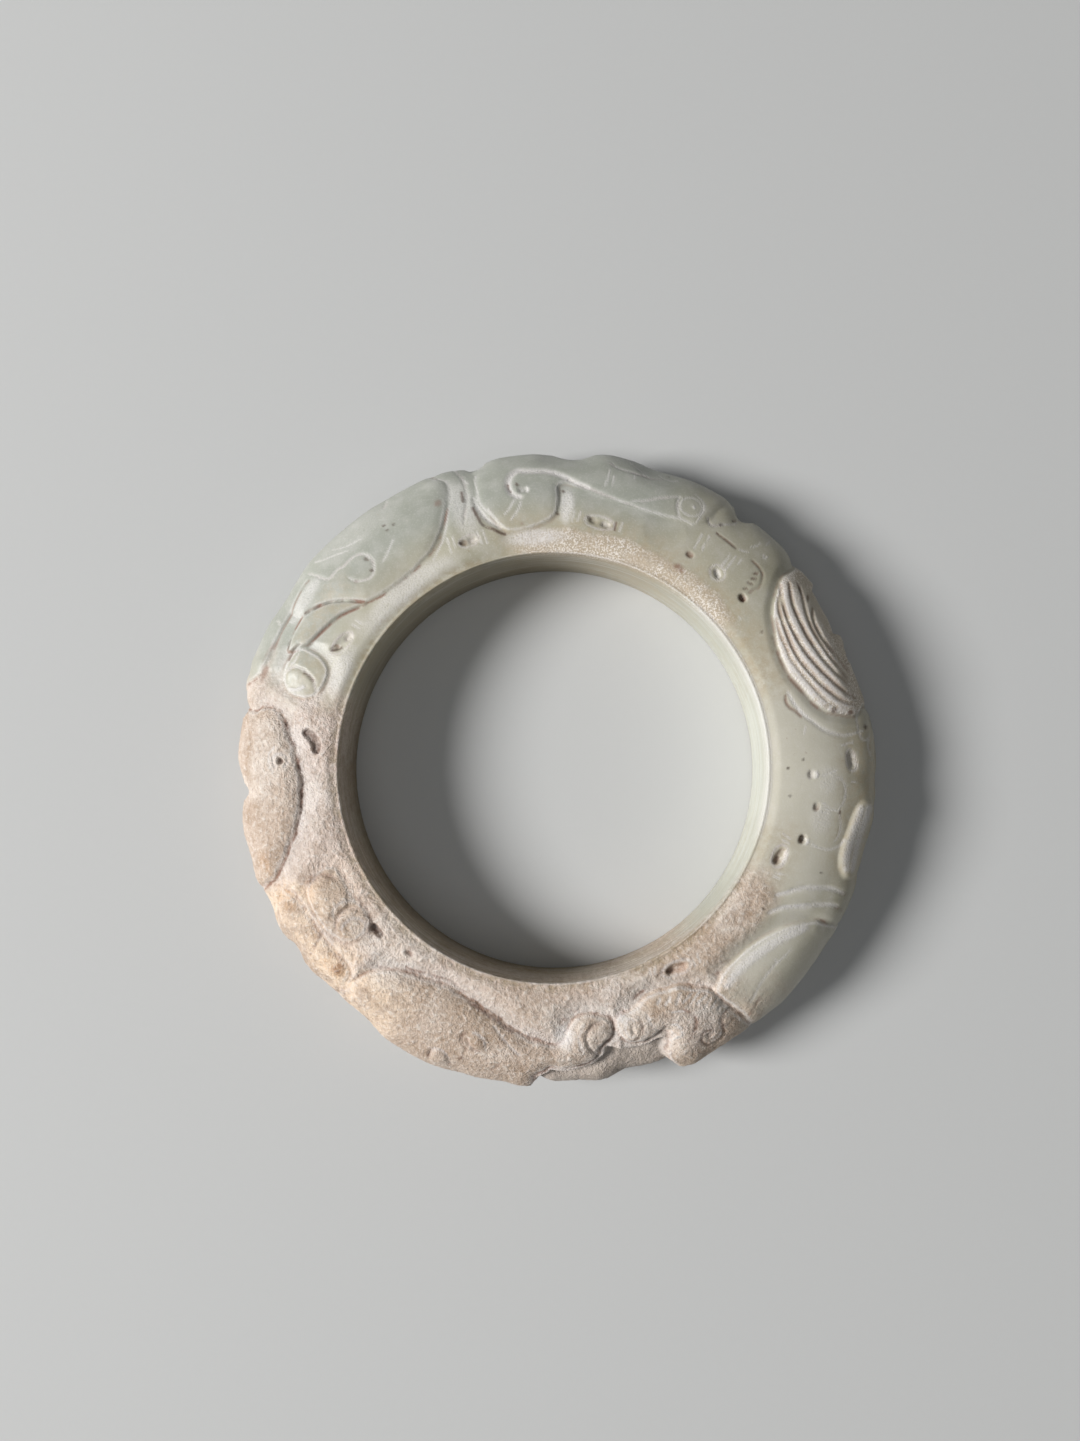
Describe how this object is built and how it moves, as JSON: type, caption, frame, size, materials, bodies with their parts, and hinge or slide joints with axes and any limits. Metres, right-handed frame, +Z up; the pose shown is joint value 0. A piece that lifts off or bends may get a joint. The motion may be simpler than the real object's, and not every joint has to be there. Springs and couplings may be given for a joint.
{
  "type": "jade bangle",
  "caption": "Closed round bangle of D section carved from one jade stone, with animals, leaves and scrolls in low relief, worn on one side.",
  "frame": {"origin": "on the bore's axis, at the flat underside that the ring lies on", "axes": "+Z up along the bore's axis, +X to the side that stays polished, beside the fluted shell"},
  "size_m": [0.0891, 0.0893, 0.0128],
  "materials": {
    "jade": "polished grey-green jade, with frosted cuts, iron-brown stains and one calcified side"
  },
  "bodies": {
    "root": {"bangle": "jade"}
  },
  "joints": []
}
